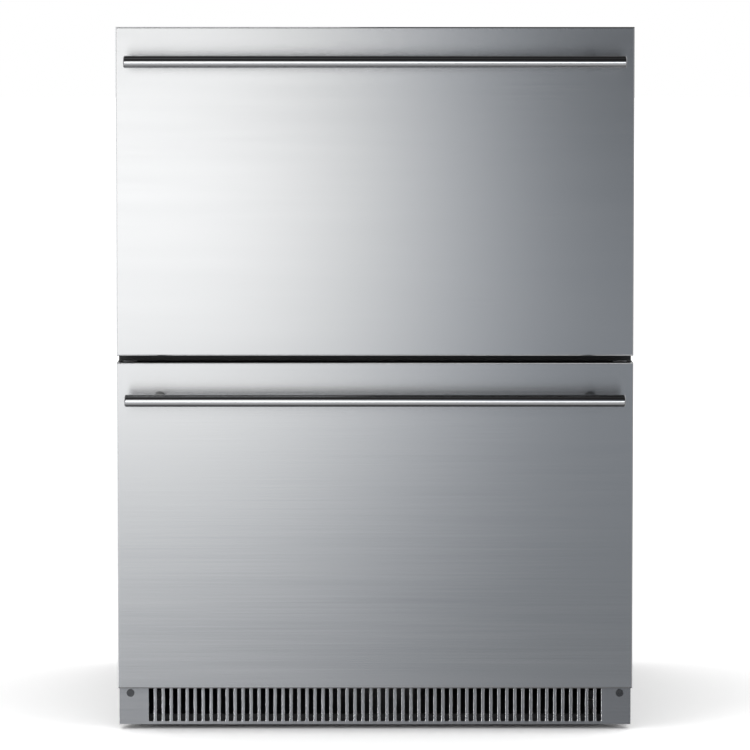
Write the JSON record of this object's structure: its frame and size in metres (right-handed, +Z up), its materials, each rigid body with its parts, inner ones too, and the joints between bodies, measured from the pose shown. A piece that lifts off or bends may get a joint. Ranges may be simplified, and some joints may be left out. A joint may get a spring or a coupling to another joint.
{
  "type": "undercounter drawer refrigerator",
  "caption": "Built-in undercounter refrigerator with stacked pull-out drawers, bar handles and a slotted toe grille, with brushed stainless steel fronts and a black cabinet.",
  "frame": {"origin": "on the ground, in the middle of the outer box", "axes": "+Z up, -Y out of the drawer fronts towards the user, +X to the right seen from the front"},
  "size_m": [0.598, 0.657, 0.82],
  "materials": {
    "brushed_steel": "satin",
    "polished_steel": "polished",
    "black_paint": "satin",
    "zinc_sheet": "satin",
    "black_plastic": "matte",
    "grey_plastic": "satin",
    "white_liner": "satin",
    "bin_plastic": "satin",
    "insulation": "matte",
    "seal_rubber": "matte",
    "frame_steel": "satin",
    "slide_steel": "satin",
    "black_enamel": "gloss",
    "coil_aluminium": "satin",
    "copper_pipe": "satin",
    "button_plastic": "satin",
    "lens_plastic": "satin",
    "screw_steel": "satin"
  },
  "bodies": {
    "cabinet": {"left_side_panel": "black_paint", "right_side_panel": "black_paint", "top_panel": "black_paint", "rear_panel": "zinc_sheet", "base_pan": "black_paint", "floor_panel": "black_paint", "cabinet_foam": "insulation", "inner_liner": "white_liner", "mullion_rail": "black_paint", "toe_grille": "brushed_steel", "cover_screws": "screw_steel", "machine_cover": "zinc_sheet", "cord_gland": "black_plastic", "compressor": "black_enamel", "compressor_mounts": "seal_rubber", "condenser": "coil_aluminium", "condenser_fan_housing": "black_plastic", "drip_tray": "black_plastic", "evaporator": "coil_aluminium", "evaporator_cover": "white_liner", "evaporator_fan_housing": "grey_plastic", "refrigerant_tubes": "copper_pipe", "control_panel": "grey_plastic", "light_lens": "lens_plastic", "slide_outer_members": "slide_steel"},
    "upper_drawer": {"upper_front_skin": "brushed_steel", "upper_front_foam": "insulation", "upper_front_liner": "white_liner", "upper_front_caps": "black_plastic", "upper_corner_plugs": "grey_plastic", "upper_seal": "seal_rubber", "upper_handle_bar": "polished_steel", "upper_handle_posts": "polished_steel", "upper_front_screws": "screw_steel", "upper_drawer_frame": "frame_steel", "upper_bin": "bin_plastic", "upper_slide_inners": "slide_steel"},
    "upper_middles": {"upper_slide_middles": "slide_steel"},
    "lower_drawer": {"lower_front_skin": "brushed_steel", "lower_front_foam": "insulation", "lower_front_liner": "white_liner", "lower_front_caps": "black_plastic", "lower_corner_plugs": "grey_plastic", "lower_seal": "seal_rubber", "lower_handle_bar": "polished_steel", "lower_handle_posts": "polished_steel", "lower_front_screws": "screw_steel", "lower_drawer_frame": "frame_steel", "lower_bin": "bin_plastic", "lower_slide_inners": "slide_steel"},
    "lower_middles": {"lower_slide_middles": "slide_steel"},
    "evaporator_fan": {"evaporator_fan": "grey_plastic"},
    "condenser_fan": {"condenser_fan": "black_plastic"},
    "power_button": {"power_button": "button_plastic"},
    "colder_button": {"colder_button": "button_plastic"},
    "warmer_button": {"warmer_button": "button_plastic"},
    "front_left_foot": {"front_left_foot": "black_plastic"},
    "front_right_foot": {"front_right_foot": "black_plastic"},
    "rear_left_foot": {"rear_left_foot": "black_plastic"},
    "rear_right_foot": {"rear_right_foot": "black_plastic"}
  },
  "joints": [
    {"name": "upper_drawer_slide", "type": "slide", "parent": "cabinet", "child": "upper_drawer", "axis": [0, -1, 0], "range_m": [0, 0.41]},
    {"name": "upper_middle_slide", "type": "slide", "parent": "cabinet", "child": "upper_middles", "axis": [0, -1, 0], "range_m": [0, 0.205]},
    {"name": "lower_drawer_slide", "type": "slide", "parent": "cabinet", "child": "lower_drawer", "axis": [0, -1, 0], "range_m": [0, 0.29]},
    {"name": "lower_middle_slide", "type": "slide", "parent": "cabinet", "child": "lower_middles", "axis": [0, -1, 0], "range_m": [0, 0.145]},
    {"name": "evaporator_fan_spin", "type": "hinge", "parent": "cabinet", "child": "evaporator_fan", "pos_m": [0, 0.2305, 0.69], "axis": [0, 1, 0], "continuous": true},
    {"name": "condenser_fan_spin", "type": "hinge", "parent": "cabinet", "child": "condenser_fan", "pos_m": [-0.15, 0.2215, 0.1145], "axis": [0, 1, 0], "continuous": true},
    {"name": "power_button_press", "type": "slide", "parent": "cabinet", "child": "power_button", "axis": [0, 1, 0], "range_m": [0, 0.001], "stiffness_N_per_m": 400, "springref_m": -0.0005},
    {"name": "colder_button_press", "type": "slide", "parent": "cabinet", "child": "colder_button", "axis": [0, 1, 0], "range_m": [0, 0.001], "stiffness_N_per_m": 400, "springref_m": -0.0005},
    {"name": "warmer_button_press", "type": "slide", "parent": "cabinet", "child": "warmer_button", "axis": [0, 1, 0], "range_m": [0, 0.001], "stiffness_N_per_m": 400, "springref_m": -0.0005},
    {"name": "front_left_foot_screw", "type": "slide", "parent": "cabinet", "child": "front_left_foot", "axis": [0, 0, -1], "range_m": [0, 0.02]},
    {"name": "front_right_foot_screw", "type": "slide", "parent": "cabinet", "child": "front_right_foot", "axis": [0, 0, -1], "range_m": [0, 0.02]},
    {"name": "rear_left_foot_screw", "type": "slide", "parent": "cabinet", "child": "rear_left_foot", "axis": [0, 0, -1], "range_m": [0, 0.02]},
    {"name": "rear_right_foot_screw", "type": "slide", "parent": "cabinet", "child": "rear_right_foot", "axis": [0, 0, -1], "range_m": [0, 0.02]}
  ],
  "couplings": [
    {"joint": "upper_middle_slide", "follows": "upper_drawer_slide", "ratio": 0.5},
    {"joint": "lower_middle_slide", "follows": "lower_drawer_slide", "ratio": 0.5}
  ]
}
